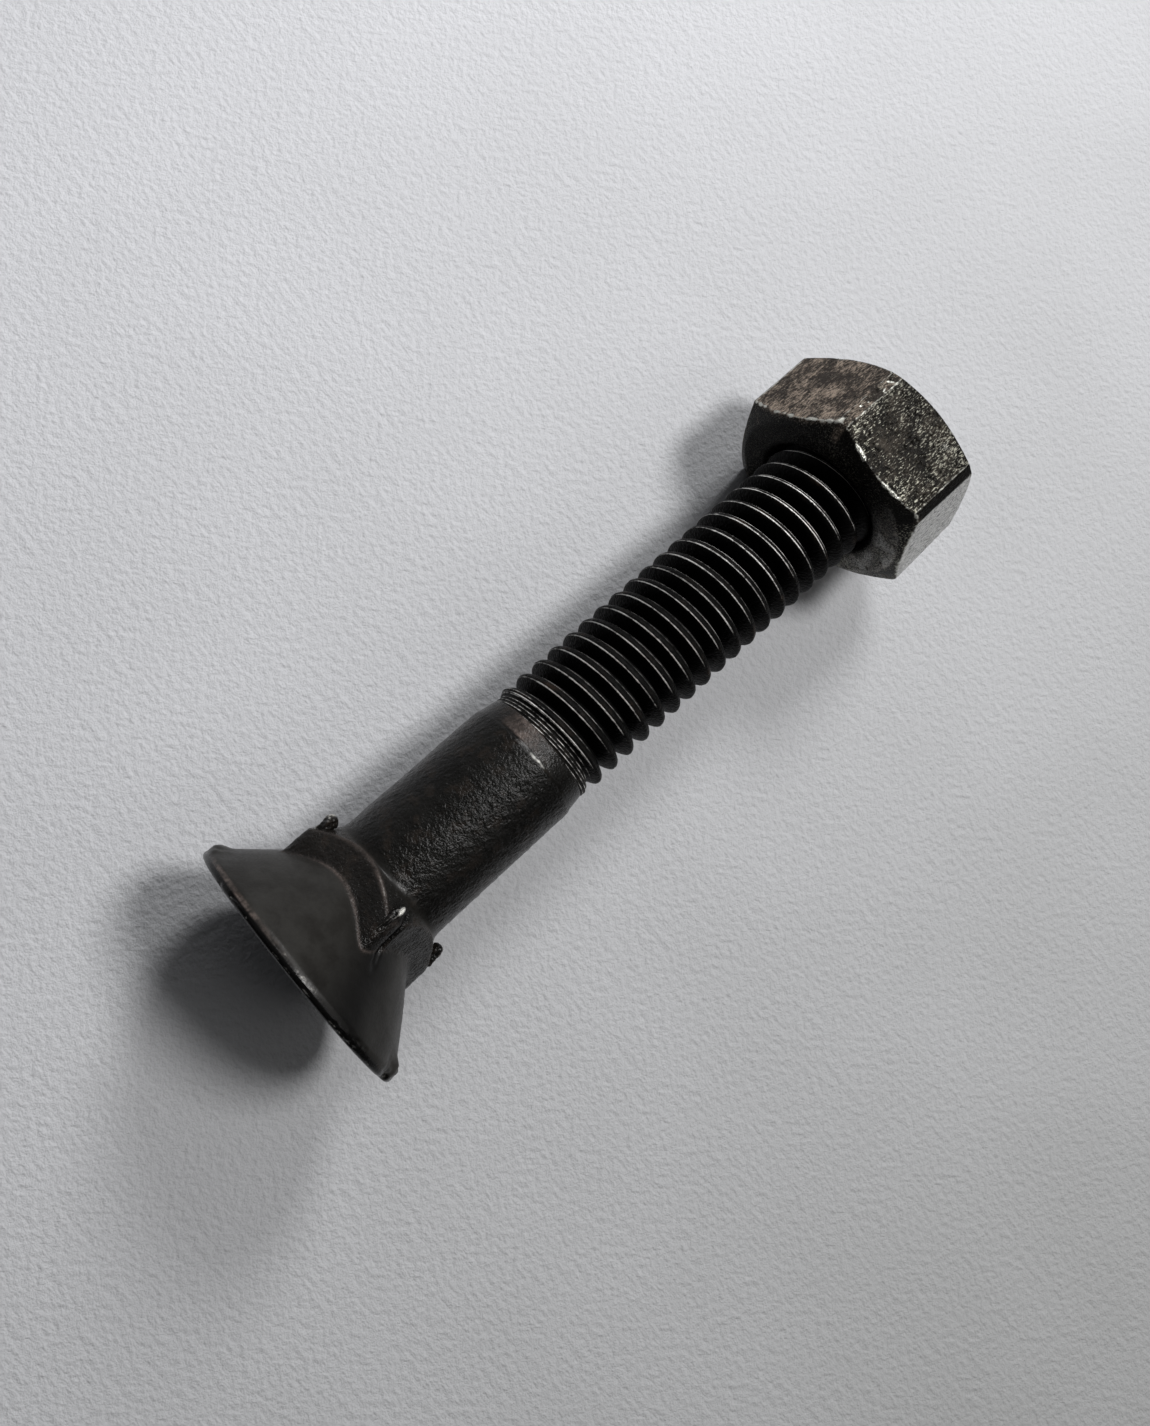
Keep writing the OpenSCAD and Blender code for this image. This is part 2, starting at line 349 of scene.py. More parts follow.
def forgingWear(d, s):
    # Where the scale has gone: the brightest of the worn edges, each on the side where it is rubbed. The
    # rim's edge and the step are also kept brightest at the top, where the light catches them: painted
    # highlight
    litAndRubbedSide = np.maximum(s.facing(172, 20) ** 2, 0.5 * s.facing(30, 40))
    # Painted highlight: the step's bright steel is strongest on the side where the light catches it
    stepWornAndLit = 0.12 + d["stepHighlight"] * s.facing(176, 11)
    silver = d["silver"] * bell(s.fromEdge + 0.02, 0.16, 4) * partly(0.05, litAndRubbedSide)
    return np.max([
        silver * partly(0.25, s.patchy),
        d["landScuff"] * s.near("landStart", 0.14) * s.patchy,
        stepWornAndLit * s.near("shankEnd", 0.19) * partly(0.5, s.patchy),
        d["batterWear"] * s.broken * s.patchy,
        d["bevelWear"] * s.near("bevelStart", 0.11) * s.streaky * s.facing(160, 27),
        d["squareWear"] * s.near("squareStart", 0.10) * s.streaky * s.facing(162, 24),
        d["taperWear"] * s.onTaper * s.facing(174, 18) * partly(0.25, s.patchy),
    ], axis=0)


def forgingLooks(d, s):
    # Values for the material: bare steel with painted highlights, pebbled relief, rust, polish, and soot
    # with painted shade
    onRim = bell(s.fromEdge + 0.03, 0.24, 4) * s.facing(130, 28)
    edges = np.maximum(s.near("squareStart", 0.17), s.near("bevelStart", 0.22))
    rust = d["taperRust"] * s.onTaper * s.facing(150, 16) * partly(0.5, s.patchy)
    rust = rust + d["edgeRust"] * edges * partly(0.35, s.streaky) * partly(0.10, s.facing(155, 30))
    rust = rust + d["squareRust"] * s.onSquare * s.facing(120, 38)
    rust = rust + d["rimRust"] * onRim * partly(0.15, s.patchy)
    onCone = s.onHead * (1 - s.onSquare)
    onLand = smoothStep(1.2, 0.8, s.along) * (1 - s.wornEdge) * smoothStep(12.5, 12.8, s.radius)
    onBevelFoot = bell(s.along - d["neckEnd"], 0.55) * (1 - s.onHead)
    # Painted shade: the fold, one side of the cone, the rim's land and one side of the shank are darkened
    # towards black
    sootAndShade = d["foldShade"] * s.inFold + d["coneShade"] * s.facing(197, 19) * onCone + onLand
    sootAndShade = sootAndShade + d["shankShade"] * s.facing(212, 20) * s.onShank
    polish = onCone * smoothStep(d["landEnd"], d["coneStart"], s.along) + 0.4 * onBevelFoot
    return {
        "wearAndHighlight": forgingWear(d, s),
        "pebble": s.onShank + 0.12 * s.onHead + 1.1 * s.onSquare + 0.8 * s.onTaper,
        "rust": np.clip(rust, 0, 1),
        "polish": np.clip(polish, 0, 1),
        "sootAndShade": np.clip(sootAndShade, 0, 1),
    }


def forgingShell(d):
    s = forgingSurface(d)
    forgingZones(d, s)
    dentForging(d, s)
    return gridShell(s.radius, s.turn, s.along, forgingLooks(d, s), capStart=True, capEnd=True)


# The fins of flash along the square's corners: each one's turn, where it starts, how far it goes
# past the end of the flats, its place out from the axis, its half sizes, and where it is rubbed bare
flash = {
    "squareEnd": 8.97, "rows": 72, "columns": 32, "seed": 31,
    "fins": [
        {"turn": 98.0, "start": 6.6, "reach": 2.5, "out": 8.00, "thick": 0.56, "wide": 0.66,
         "knobWear": 0.62, "ridgeWear": 0.0, "tipWear": 0.3375},
        {"turn": 184.5, "start": 5.6, "reach": 1.75, "out": 8.48, "thick": 0.38, "wide": 0.38,
         "knobWear": 0.0, "ridgeWear": 0.38, "tipWear": 0.5625},
        {"turn": 276.0, "start": 6.4, "reach": 2.5, "out": 8.14, "thick": 0.55, "wide": 0.76,
         "knobWear": 0.62, "ridgeWear": 0.0, "tipWear": 0.3375},
        {"turn": 6.0, "start": 6.4, "reach": 2.1, "out": 8.2, "thick": 0.5, "wide": 0.7,
         "knobWear": 0.62, "ridgeWear": 0.0, "tipWear": 0.3375},
    ],
    "knobSize": 2.0, "nickSize": 0.9, "bowSize": 3.2, "knobs": 0.20, "nicks": 0.14, "bow": 0.12,
}


def flashShell(d, number):
    # A lumpy fin along one corner of the square: ellipses along the corner that swell towards the
    # free end and close in a round nose, with knobs and nicks laid over them
    fin, seed = d["fins"][number], d["seed"] + number
    t = np.linspace(0, 1, d["rows"])[:, None]
    w = np.linspace(0, 2 * math.pi, d["columns"], endpoint=False)[None]
    outward = np.cos(w)
    along = fin["start"] + (d["squareEnd"] + fin["reach"] - fin["start"]) * t + 0 * w
    nose = np.sqrt(np.clip(1 - np.clip((t - 0.88) / 0.12, 0, 1) ** 2, 0, 1))
    body = nose * np.sqrt(smoothStep(0, 0.3, t))
    swell = 0.52 + 0.48 * smoothStep(0.25, 0.75, t)
    knobs = ripples(3 * outward, 3 * np.sin(w), along * 1.6, seed, d["knobSize"])
    nicks = ripples(3 * outward, 3 * np.sin(w), along * 1.6, seed + 5, d["nickSize"])
    size = swell * body * (1 + d["knobs"] * knobs + d["nicks"] * nicks)
    bow = d["bow"] * ripples(0 * t, 0 * t, along, seed + 9, d["bowSize"])
    out = fin["out"] - 0.10 * smoothStep(0.5, 1, t) + bow + fin["thick"] * size * outward
    across = fin["wide"] * size * np.sin(w) + bow * 1.2
    radius = np.hypot(out, across)
    angle = math.radians(fin["turn"]) + np.arctan2(across, out)
    high = smoothStep(0.1, 1.0, outward) * smoothStep(0.1, 1.1, knobs + 0.7 * nicks)
    ridge = smoothStep(0.55, 1.0, outward) * smoothStep(-0.9, 0.5, knobs)
    tip = smoothStep(0.80, 0.90, t) * smoothStep(0.2, 0.9, outward)
    wearAndHighlight = np.maximum(fin["knobWear"] * high, fin["ridgeWear"] * ridge) + fin["tipWear"] * tip
    values = {
        "wearAndHighlight": np.clip(wearAndHighlight, 0, 1), "pebble": 0.7, "rust": 0.15 * high, "polish": 0,
        # Soot and painted shade on the fins, least on the knobs' tops
        "sootAndShade": 0.55 - 0.4 * smoothStep(-0.6, 0.7, knobs),
    }
    values = {key: value + 0 * along for key, value in values.items()}
    return gridShell(radius, angle, along, values, capStart=True, capEnd=True)


# The rolled thread; w below is the way across one pitch from the crest, -0.5 to 0.5
thread = {
    "start": 28.54, "turnDeg": -63.0, "pitch": 25.4 / 12, "crestRadius": 6.35, "depth": 1.355,
    "openDepth": 1.60, "openUntil": 66.0, "blankShare": 0.30,
    # The form: half the crest's width, its drop there, the flank's slope and the root's rounding
    "crestHalf": 0.22, "crestDrop": 0.24, "flankSlope": 2.75, "rootSoftness": 0.06,
    # The two lips on the crest, how far they stand apart and where they close up, and their seam
    "lipMiddle": 0.05, "lipApart": 0.175, "lipCloses": 0.125, "lipClosing": (44, 72),
    "lipHeight": 0.014, "lipWidth": 0.032, "seamDepth": 0.03, "seamClosing": (62, 74),
    # Where the thread starts: crest and root grow in, with fine lines across the run-out
    "crestFrom": 29.7, "crestFull": 31.6, "rootFrom": 30.3, "rootFull": 32.6,
    "runZone": (29.2, 29.9, 31.4, 33.2), "runLines": 6, "runHeight": 0.035,
    # The tip: the face that the thread is cut by, and the core inside it
    "tipFace": 81.75, "tipAngle": 40.0, "tipCore": 5.135, "coreLength": 4.0, "hubRadius": 0.6,
    "boltEnd": 82.0, "rows": 84, "across": 34, "seed": 51,
    # Nicks, the lips' wear as width and strength, the turns where it fades as a painted highlight, and
    # soot with painted shade
    "nickDepth": 0.12, "roughHeight": 0.022, "lowerLip": (0.024, 1.0), "upperLip": (0.017, 0.85),
    "lipFade": 0.80, "fadeTurns": (194, 226), "crestWear": 0.16, "runWear": 0.62, "sootAndShade": 1.3,
}


def threadForm(w, along, d):
    # How far below the crest the form is, as a share of the depth: a parabola across the crest, then
    # a straight flank down to the root. The crest carries two rolled lips with a seam between them,
    # a little past its middle, wide apart at the shank and closed at the end
    height = np.abs(w)
    dome = d["crestDrop"] * (height / d["crestHalf"]) ** 2
    flank = d["crestDrop"] + (height - d["crestHalf"]) * d["flankSlope"]
    form = np.where(height < d["crestHalf"], dome, flank)
    form = softMin(form, 1 + 0 * form, d["rootSoftness"])
    lip = d["lipApart"] - d["lipCloses"] * smoothStep(*d["lipClosing"], along)
    fromMiddle = w - d["lipMiddle"]
    seam = d["seamDepth"] * bell(fromMiddle, 0.5 * lip) * (1 - smoothStep(*d["seamClosing"], along))
    return form + seam - d["lipHeight"] * bell(np.abs(fromMiddle) - lip, d["lipWidth"]), lip


def threadShell(d):
    # The form laid along a helix: its depth grows in at the start, and a chamfer cuts it at the tip
    turns = math.ceil((d["tipFace"] - d["start"]) / d["pitch"]) + 2
    i = np.arange(turns * d["rows"] + 1)[:, None]
    w = (np.arange(d["across"]) / d["across"] - 0.5)[None]
    along = d["start"] + d["pitch"] * (i / d["rows"] + w)
    angle = math.radians(d["turnDeg"]) + 2 * math.pi * i / d["rows"] + 0 * w
    form, lip = threadForm(w, along, d)
    opened = smoothStep(d["openUntil"] + 2, d["openUntil"] - 2, along)
    depth = d["depth"] + (d["openDepth"] - d["depth"]) * opened
    full = d["crestRadius"] - depth * form
    blank = d["crestRadius"] - d["blankShare"] * d["depth"]
    crestGrowth = smoothStep(d["crestFrom"], d["crestFull"], along)
    rootGrowth = smoothStep(d["rootFrom"], d["rootFull"], along)
    grown = blank + np.maximum(full - blank, 0) * crestGrowth + np.minimum(full - blank, 0) * rootGrowth
    runLines = np.cos(2 * math.pi * w * d["runLines"]) * span(d["runZone"], along)
    grown = grown + d["runHeight"] * runLines
    chamfer = d["tipCore"] + 0.1 + (d["tipFace"] - along) * math.tan(math.radians(d["tipAngle"]))
    inside = along <= d["tipFace"]
    radius = np.where(inside, softMin(grown, chamfer, 0.1), d["tipCore"] - 0.5)

    x, y = radius * np.cos(angle), radius * np.sin(angle)
    rough = ripples(x, y, along, d["seed"], 0.8)
    coarse = ripples(x, y, along, d["seed"] + 1, 3.0)
    onCrest = bell(w, d["crestHalf"])
    nicks = smoothStep(1.2, 2.0, rough + 0.4 * coarse) * onCrest
    bumps = d["roughHeight"] * rough * onCrest - d["nickDepth"] * nicks
    radius = radius + np.where(inside, bumps, 0) - d["roughHeight"] * onCrest

    wearAndHighlight = 0
    for side, (width, strength) in ((lip, d["lowerLip"]), (-lip, d["upperLip"])):
        wearAndHighlight = wearAndHighlight + strength * bell(w - d["lipMiddle"] + side, width)
    # Painted highlight: the lips' bright steel is strongest at top and bottom, weaker at the sides, and
    # faded over the fade turns
    wearAndHighlight = wearAndHighlight * smoothStep(-0.10, 0.45, np.cos(angle) ** 2 + 0.18 * np.sin(angle))
    fadeFrom, fadeTo = np.radians(d["fadeTurns"])
    wearAndHighlight = wearAndHighlight * (1 - d["lipFade"] * smoothStep(fadeFrom, fadeTo, angle % (2 * math.pi)))
    wearAndHighlight = wearAndHighlight * partly(0.58, smoothStep(-1.2, 0.6, coarse + 0.8 * rough))
    wearAndHighlight = np.maximum(wearAndHighlight, d["crestWear"] * smoothStep(0.1, 1.2, rough) * onCrest) * crestGrowth
    runWear = smoothStep(0.55, 1, runLines) * partly(0.5, smoothStep(-0.6, 0.6, rough))
    wearAndHighlight = np.maximum(wearAndHighlight, d["runWear"] * runWear)
    values = {
        "wearAndHighlight": np.clip(wearAndHighlight, 0, 1),
        "pebble": 0.90 + 0 * along,
        "rust": 0.55 * smoothStep(0.7, 1.6, coarse + 0.5 * rough) * onCrest,
        "polish": 0 * along,
        # Soot and painted shade: the flanks and roots are darker than the crest
        "sootAndShade": np.clip(d["sootAndShade"] - 0.72 * onCrest, 0, 1) * rootGrowth,
    }
    along = np.where(inside, along, d["tipFace"] + (along - d["tipFace"]) * 0.03)
    return helixShell(radius, angle, along, values, d["rows"])


def tipShell(d):
    # The tip's core: a short cylinder with a small chamfer, closed at both ends
    start, end, core = d["tipFace"] - d["coreLength"], d["boltEnd"], d["tipCore"]
    profile = np.array([
        [start, d["hubRadius"]], [start, core], [end - 0.34, core], [end - 0.26, core - 0.04],
        [end - 0.03, 4.9], [end, 4.8], [end, 4.0], [end - 0.02, 2.0], [end - 0.02, d["hubRadius"]],
    ])
    spots = np.linspace(0, 1, len(profile))
    finer = np.unique(np.concatenate([np.linspace(0, 1, 41), spots]))
    turn = np.linspace(0, 2 * math.pi, 128, endpoint=False)[None]
    along = np.interp(finer, spots, profile[:, 0])[:, None] + 0 * turn
    radius = np.interp(finer, spots, profile[:, 1])[:, None] + 0 * turn
    values = {"wearAndHighlight": 0.30, "pebble": 0.5, "rust": 0.15, "polish": 0.3, "sootAndShade": 0}
    values = {key: value + 0 * radius for key, value in values.items()}
    return gridShell(radius, turn + 0 * radius, along, values, capStart=True, capEnd=True)


# The nut, in millimetres and degrees. A list goes round its six faces from the one it lies on, or
# round its six corners from the one after that face
nut = {
    "seat": 70.0, "height": 10.5, "acrossFlats": 20.83, "faceRadius": 9.634, "chamferDeg": 30.0,
    "boreRadius": 6.45, "mouth": 0.55, "columnsPerFace": 60, "crowding": 1.45, "seed": 71,
    "easingRounds": 4,
    "easing": {"bearingStart": 1, "chamferStart": 2, "flatStart": 2, "flatEnd": 2,
               "farEdge": 2, "farMouth": 1},
    # The corners' worn bevels: width, how much wider each gets by the far face, brown, bare steel, and
    # painted shadow on one bevel
    "bevelWidth": [0.40, 0.20, 0.95, 1.05, 0.30, 0.35],
    "bevelLean": [0.0, 0.0, 0.0, 0.2, 3.0, 0.0],
    "bevelBrown": [0.6, 0.4, 0.75, 0.0, 0.4, 0.6],
    "bevelWear": [0.4, 0.3, 1.0, 0.0, 0.3, 0.4],
    "bevelShadow": [0, 0, 0, 1, 0, 0],
    "bevelSoftness": 0.05, "bevelRatio": 3.464,  # the bevel's width over how deep it cuts
    # The faces: bare steel on their edges, brown, pale specks that are partly painted glints, specks on
    # the chamfer that are partly a painted reflection of the floor, rubbed bright
    "edgeWear": [0.35, 0.35, 0.85, 0.80, 0.6, 0.35],
    "brown": [0.4, 0.5, 1.0, 0.10, 0.2, 0.5],
    "speck": [0.5, 0.45, 0.12, 1.0, 0.30, 0.5],
    "chamferSpeck": [0.5, 0.25, 0.25, 0.06, 0.75, 0.8],
    "bright": [0.1, 0.1, 0.0, 0.0, 0.9, 0.3],
    # Bumps, chips, and the rubbed spot on one face: along, across, its half sizes and its strength
    "coarseSize": 6.0, "middleSize": 2.2, "fineSize": 0.7, "fineWaves": 22,
    "coarseHeight": 0.030, "middleHeight": 0.014, "fineHeight": 0.006,
    "edgeChip": 0.15, "bevelChip": 0.13,
    "spotFace": 3, "spot": (8.5, -2.6), "spotSize": (1.0, 1.5), "spotWear": 0.42,
    "bearingReach": 9.6,
}


def cornerCut(d, width, fromCorner):
    # A bevel across a corner: a straight line square to the corner, sunk by its width over the ratio
    corner = d["acrossFlats"] / 2 / math.cos(math.radians(30))
    return (corner - width / d["bevelRatio"]) / np.cos(fromCorner)


def nutSurface(d):
    # A closed ring of rows: bore, mouth, bearing face, corner chamfer up to the hexagon, flats, and
    # back by the far face. The hexagon's radius is the apothem over the cosine of the angle from
    # the flat's middle, cut by a worn bevel at each corner; columns crowd towards the corners
    share = (np.arange(d["columnsPerFace"]) + 0.5) / d["columnsPerFace"] * 2 - 1
    within = np.radians(30) * np.sign(share) * (1 - (1 - np.abs(share)) ** d["crowding"])
    angle = (within[None] + np.radians(60) * np.arange(6)[:, None]).reshape(-1)
    inFace = np.tile(within, 6)
    face = np.repeat(np.arange(6), d["columnsPerFace"])
    corner = np.where(inFace > 0, face, face - 1)
    bevel = np.array(d["bevelWidth"])[corner]
    fromCorner = np.radians(30) - np.abs(inFace)
    apothem, soft = d["acrossFlats"] / 2, d["bevelSoftness"]
    hexagon = softMin(apothem / np.cos(inFace), cornerCut(d, bevel, fromCorner), soft)
    full = np.ones_like(angle)
    lift = (hexagon - d["faceRadius"]) * math.tan(math.radians(d["chamferDeg"]))
    top, mouth = d["height"], d["mouth"]
    s = Surface(angle, [
        ("boreStart", 0, mouth * full, d["boreRadius"] * full),
        ("bearingStart", 6, 0 * full, (d["boreRadius"] + mouth) * full),
        ("chamferStart", 26, 0 * full, d["faceRadius"] * full),
        ("flatStart", 20, lift, hexagon),
        ("flatEnd", 78, top - lift, hexagon),
        ("farEdge", 20, top * full, d["faceRadius"] * full),
        ("farMouth", 26, top * full, (d["boreRadius"] + mouth) * full),
        ("boreEnd", 6, (top - mouth) * full, d["boreRadius"] * full),
        ("boreAgain", 24, mouth * full, d["boreRadius"] * full),
    ], ring=True)
    s.ease(d["easingRounds"], d["easing"])
    lean = np.array(d["bevelLean"])[corner] * s.along / top
    leanCut = softMin(s.radius, cornerCut(d, bevel + lean, fromCorner), soft)
    s.radius = np.where((lean > 0.01) & (s.radius > d["faceRadius"]), leanCut, s.radius)
    s.measure()
    s.face, s.corner, s.inFace = face, corner, inFace
    s.endWay = np.minimum(s.along - lift, top - lift - s.along)
    toCorner = apothem * (math.tan(math.radians(30)) - np.tan(np.abs(inFace)))
    s.bevelWay = toCorner[None] - (bevel + lean) / 2 / math.cos(math.radians(30))
    return s


def dentNut(d, s):
    # Takes bumps and chips from the radius, after noting the places that the looks follow too
    s.coarse = s.bumps(d["seed"], d["coarseSize"])
    s.middle = s.bumps(d["seed"] + 1, d["middleSize"])
    s.fine = s.bumps(d["seed"] + 2, d["fineSize"], d["fineWaves"])
    s.onHexagon = smoothStep(9.7, 10.1, s.radius)
    s.onBevel = smoothStep(0.12, -0.04, s.bevelWay) * s.onHexagon
    edges = np.maximum(s.near("flatStart", 0.4), s.near("flatEnd", 0.4))
    chipped = smoothStep(0.7, 1.6, s.fine + 0.6 * s.middle)
    bumps = d["coarseHeight"] * s.coarse + d["middleHeight"] * s.middle + d["fineHeight"] * s.fine
    dents = smoothStep(7.4, 8.4, s.radius) * bumps
    dents = dents - chipped * (d["edgeChip"] * edges + d["bevelChip"] * s.onBevel)
    s.radius = s.radius + np.minimum(dents, 0.0)


def nutWear(d, s, perFace, perCorner):
    # Bare steel: the flats' ends and sides, spots on the bevels, the bearing face's edge, one spot
    patchy = smoothStep(-0.8, 0.9, s.fine + 0.5 * s.middle)
    spots = smoothStep(0.5, 1.1, s.fine + 0.5 * s.middle)
    ends = s.near("flatStart", 0.10 + 0.14 * patchy) * partly(0.40, patchy)
    ends = ends + 0.22 * s.near("flatStart", 0.9) * patchy
    ends = np.maximum(ends, 0.6 * s.near("flatEnd", 0.14) * patchy)
    sides = bell(s.bevelWay - 0.12, 0.12) * s.onHexagon * smoothStep(-0.3, 0.1, s.endWay)
    sides = sides * np.where(s.inFace < 0, 1.0, 0.8) * partly(0.6, patchy)
    alongSpot, acrossSpot = s.along - d["spot"][0], s.y - d["spot"][1]
    spot = bell(alongSpot, d["spotSize"][0]) * bell(acrossSpot, d["spotSize"][1])
    return np.max([
        ends * perFace("edgeWear"),
        sides * perFace("edgeWear"),
        s.onBevel * spots * perCorner("bevelWear") * smoothStep(-0.4, 0.2, s.endWay),
        0.22 * s.near("chamferStart", 0.10) * patchy,
        d["spotWear"] * spot * (s.face == d["spotFace"]) * partly(0.5, patchy),
    ], axis=0)


def nutLooks(d, s):
    # Values for the material: bare steel, flats as against black scale, brown, specks and rubbing, with
    # painted light on the lower bearing face and painted shadow on one bevel
    def perFace(key):
        return np.array(d[key])[s.face]

    def perCorner(key):
        return np.array(d[key])[s.corner]

    onFace = s.onHexagon * smoothStep(0.0, 0.25, s.endWay) * (1 - s.onBevel)
    # Painted shadow: one corner's bevel is turned to the black of the scale
    shadowedBevel = s.onBevel * perCorner("bevelShadow")
    onChamfer = smoothStep(9.55, 9.9, s.radius) * (1 - onFace) * (1 - shadowedBevel)
    onBearing = smoothStep(6.8, 8.0, s.radius) * smoothStep(0.6, 0.2, s.along) * (1 - s.onHexagon)
    sideways = -s.y / d["bearingReach"]
    # Painted light: the lower part of the bearing face is made brown, speckled and mirror bright,
    # standing in for light that no lamp gives it
    paintedLightBearing = onBearing * smoothStep(0.25, 0.9, sideways)
    brown = perFace("brown") * (onFace + 1.1 * s.near("flatStart", 0.35))
    brown = brown + s.onBevel * perCorner("bevelBrown") + 0.65 * paintedLightBearing
    # Pale specks: on the faces partly painted glints, on the chamfers partly a painted reflection of the
    # floor, on the bearing face painted light
    speck = np.max([
        perFace("speck") * onFace * (1 - 0.40 * smoothStep(2.5, 6.5, s.along)),
        perFace("chamferSpeck") * onChamfer,
        onBearing * partly(0.20, smoothStep(0.35, 0.95, sideways)),
    ], axis=0)
    # Painted light: mirror rubbing on the lower bearing face
    rubbedAndPaintedLight = paintedLightBearing * partly(0.35, smoothStep(-0.7, 0.9, s.middle))
    rubbedAndPaintedLight = rubbedAndPaintedLight * (1 - smoothStep(0.7, 1.2, s.fine))
    return {
        "wearAndHighlight": np.clip(nutWear(d, s, perFace, perCorner), 0, 1),
        "flat": np.clip(onFace + s.onBevel - shadowedBevel + 0.9 * paintedLightBearing, 0, 1),
        "brown": np.clip(brown, 0, 1),
        "speck": np.clip(speck, 0, 1),
        "bright": perFace("bright") * onFace * (1 - shadowedBevel) + 0.62 * rubbedAndPaintedLight,
    }


def nutShell(d):
    s = nutSurface(d)
    dentNut(d, s)
    return gridShell(s.radius, s.turn, s.along + d["seat"], nutLooks(d, s), wrapRows=True)


# The ridge inside the nut, on the bolt's own helix
nutThread = {
    "seat": nut["seat"], "height": nut["height"],
    "start": thread["start"], "turnDeg": thread["turnDeg"], "pitch": thread["pitch"],
    "crestRadius": 5.52, "rootRadius": 6.62, "rootHalf": 0.40, "crestHalf": 0.09, "clearance": 0.07,
    "margin": 0.25, "growLength": 1.6, "rows": 72, "corners": 18,
}


def nutThreadShell(d):
    # A rounded triangle carried along the bolt's own helix half a pitch on, sunk in the bore's wall,
    # and shrinking to nothing at both mouths
    first = math.ceil((d["seat"] - d["start"]) / d["pitch"] * d["rows"])
    count = int(d["height"] / d["pitch"] * d["rows"])
    i = (first + np.arange(count + 1))[:, None]
    corner = np.linspace(0, 2 * math.pi, d["corners"], endpoint=False)[None]
    centre = d["start"] + d["pitch"] * i / d["rows"]
    ends = np.minimum(centre - d["seat"], d["seat"] + d["height"] - centre) - d["margin"]
    grow = smoothStep(0, d["growLength"], ends) + 0.02
    inward = np.clip(0.5 + 0.62 * np.cos(corner), 0, 1)
    radius = d["rootRadius"] - (d["rootRadius"] - d["crestRadius"]) * inward * grow
    half = (d["rootHalf"] - (d["rootHalf"] - d["crestHalf"]) * inward) * d["pitch"] - d["clearance"]
    along = centre + np.sign(np.sin(corner)) * half * np.abs(np.sin(corner)) ** 0.4 * grow
    along = np.clip(along, d["seat"] + 0.3, d["seat"] + d["height"] - 0.3)
    angle = math.radians(d["turnDeg"]) + 2 * math.pi * i / d["rows"] + math.pi + 0 * corner
    values = {"wearAndHighlight": 0.15 * inward, "flat": 0, "brown": 0.2, "speck": 0.2, "bright": 0}
    values = {key: value + 0 * radius for key, value in values.items()}
    return gridShell(radius, angle, along, values, capStart=True, capEnd=True)


def feed(tree, spot, value):
    # Links a socket to an input, or sets the input's own value
    if isinstance(value, bpy.types.NodeSocket):
        tree.links.new(value, spot)
    else:
        spot.default_value = value


def makeNode(tree, kind, inputs=None, **settings):
    # One shader node with its settings, and its inputs given as values or as sockets to link
    made = tree.nodes.new(kind)
    for key, value in settings.items():
        setattr(made, key, value)
    for key, value in (inputs or {}).items():
        feed(tree, made.inputs[key], value)
    return made


def makeMaterial(name):
    material = bpy.data.materials.new(name)
    material.use_nodes = True
    tree = material.node_tree
    tree.nodes.clear()
    place = makeNode(tree, "ShaderNodeTexCoord").outputs["Object"]
    return material, tree, place


def noiseAt(tree, place, size, detail=3.0, rough=0.6, stretch=None):
    # Noise whose features are about size millimetres across, drawn out along the axes by stretch
    if stretch:
        place = makeNode(tree, "ShaderNodeMapping", {"Vector": place, "Scale": stretch}).outputs["Vector"]
    noise = makeNode(tree, "ShaderNodeTexNoise", {
        "Vector": place, "Scale": 1 / (size * mm), "Detail": detail, "Roughness": rough})
    return noise.outputs["Fac"]


def rangeOf(tree, value, low, high, outLow=0.0, outHigh=1.0):
    # From outLow to outHigh while the value goes from low to high, eased at both ends
    ranged = makeNode(tree, "ShaderNodeMapRange", {
        "Value": value, "From Min": low, "From Max": high, "To Min": outLow, "To Max": outHigh},
        interpolation_type="SMOOTHSTEP")
    return ranged.outputs["Result"]


def calc(tree, operation, first, second, clamp=False):
    made = makeNode(tree, "ShaderNodeMath", {0: first, 1: second}, operation=operation, use_clamp=clamp)
    return made.outputs["Value"]


def blend(tree, *parts):
    # The sum of pairs, each a value and its weight
    total = None
    for value, weight in parts:
        part = calc(tree, "MULTIPLY", value, weight)
        total = part if total is None else calc(tree, "ADD", total, part)
    return total


def mixColour(tree, share, first, second):
    # From the first colour to the second by share; the mix node's inputs 6 and 7 are its colours
    first, second = ((*colour, 1) if isinstance(colour, tuple) else colour for colour in (first, second))
    mixed = makeNode(tree, "ShaderNodeMix", {"Factor": share, 6: first, 7: second}, data_type="RGBA")
    return mixed.outputs[2]


def attributesOf(tree, *names):
    return [makeNode(tree, "ShaderNodeAttribute", attribute_name=name).outputs["Fac"] for name in names]


def bumpOf(tree, height, distance, under=None):
    inputs = {"Height": height, "Distance": distance * mm}
    if under is not None:
        inputs["Normal"] = under
    return makeNode(tree, "ShaderNodeBump", inputs).outputs["Normal"]


def finishMaterial(tree, colour, metallic, roughness, normal, specular):
    shader = makeNode(tree, "ShaderNodeBsdfPrincipled", {
        "Base Color": colour, "Metallic": metallic, "Roughness": roughness, "Normal": normal,
        "Specular IOR Level": specular})
    output = makeNode(tree, "ShaderNodeOutputMaterial")
    tree.links.new(shader.outputs["BSDF"], output.inputs["Surface"])


